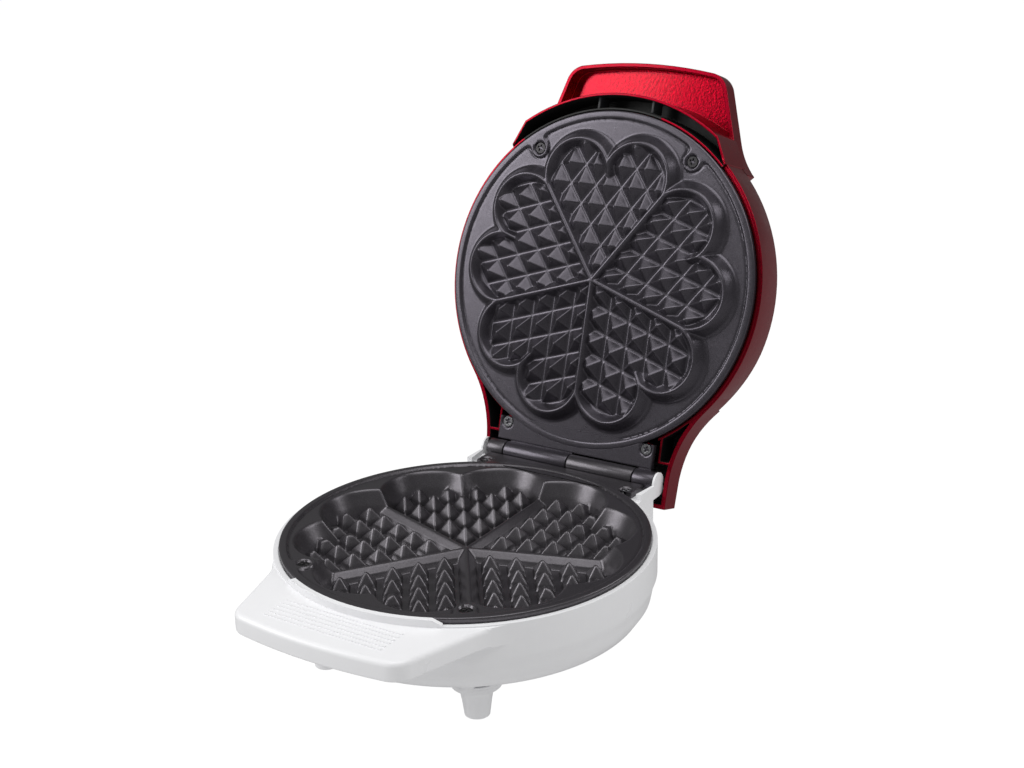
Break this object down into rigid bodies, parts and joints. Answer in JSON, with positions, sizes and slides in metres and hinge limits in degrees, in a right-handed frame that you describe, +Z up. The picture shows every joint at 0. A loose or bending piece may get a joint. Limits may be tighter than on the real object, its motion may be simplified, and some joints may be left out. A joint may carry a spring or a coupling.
{
  "type": "waffle maker",
  "caption": "Round waffle maker standing open: red lid over a white base, dark heart-pattern plates joined by a rear hinge.",
  "frame": {"origin": "on the plane under the feet, straight below the centre of the lower baking plate", "axes": "+Z up, -Y towards the grips at the front, +X to the right, along the hinge"},
  "size_m": [0.196, 0.3342, 0.2737],
  "materials": {
    "white_plastic": "smooth white moulding",
    "red_metallic": "metallic red lacquer",
    "nonstick": "dark non-stick coating",
    "dark_screw": "dark steel",
    "bright_screw": "zinc plated steel",
    "pin_steel": "ground steel",
    "heater_tube": "oxidised steel tube",
    "sheet": "bare sheet",
    "rubber": "matte",
    "bushing": "matte",
    "ceramic": "matte ceramic",
    "brass": "plain brass",
    "sleeve": "woven glass sleeve",
    "red_lens": "clear tinted plastic",
    "green_lens": "clear tinted plastic",
    "lamp_glass": "clear glass"
  },
  "bodies": {
    "base": {"lower_housing": "white_plastic", "foot_pads": "rubber", "lower_plate": "nonstick", "lower_plate_front_screws": "dark_screw", "lower_plate_rear_screws": "bright_screw", "lower_heater": "heater_tube", "lower_reflector": "sheet", "lower_reflector_screw": "bright_screw", "hinge_pin": "pin_steel", "cord_bushing": "bushing", "terminal_block": "ceramic", "terminal_screws": "brass", "thermal_fuse": "ceramic", "fuse_clip": "sheet", "base_leads": "sleeve"},
    "lid": {"lid_housing": "red_metallic", "upper_plate": "nonstick", "upper_plate_front_screws": "dark_screw", "upper_plate_rear_screws": "bright_screw", "upper_heater": "heater_tube", "upper_reflector": "sheet", "upper_reflector_screw": "bright_screw", "thermostat": "ceramic", "thermostat_bracket": "sheet", "thermostat_screws": "bright_screw", "power_lens": "red_lens", "ready_lens": "green_lens", "power_lamp": "lamp_glass", "ready_lamp": "lamp_glass", "lamp_holder": "ceramic", "lid_leads": "sleeve"}
  },
  "joints": [
    {"name": "lid_hinge", "type": "hinge", "parent": "base", "child": "lid", "pos_m": [0, 0.1045, 0.061], "axis": [1, 0, 0], "range_deg": [0, 106.8]}
  ]
}
